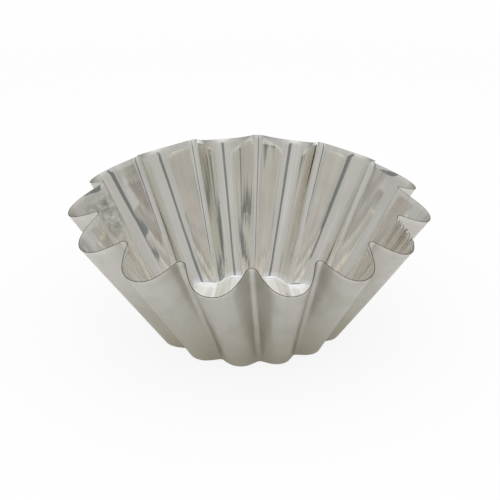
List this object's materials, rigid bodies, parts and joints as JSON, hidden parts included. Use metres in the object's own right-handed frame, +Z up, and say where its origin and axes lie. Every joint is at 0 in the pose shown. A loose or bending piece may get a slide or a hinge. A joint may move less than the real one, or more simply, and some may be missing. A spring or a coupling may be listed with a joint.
{
  "type": "brioche tin",
  "caption": "Deep round fluted baking tin of bright tinplate with a small flat floor, a flared wall of rounded lobes and a raw cut scalloped rim.",
  "frame": {"origin": "on the level of the floor's underside, under the middle of the rim", "axes": "+Z up, out of the mouth of the tin; -Y towards the ridge that faces the front, +X to the right"},
  "size_m": [0.1999, 0.1969, 0.0776],
  "materials": {
    "tinplate": "bright drawn tinplate, shiny with fine upright draw lines inside, satin pale grey outside"
  },
  "bodies": {
    "root": {"tin": "tinplate"}
  },
  "joints": []
}
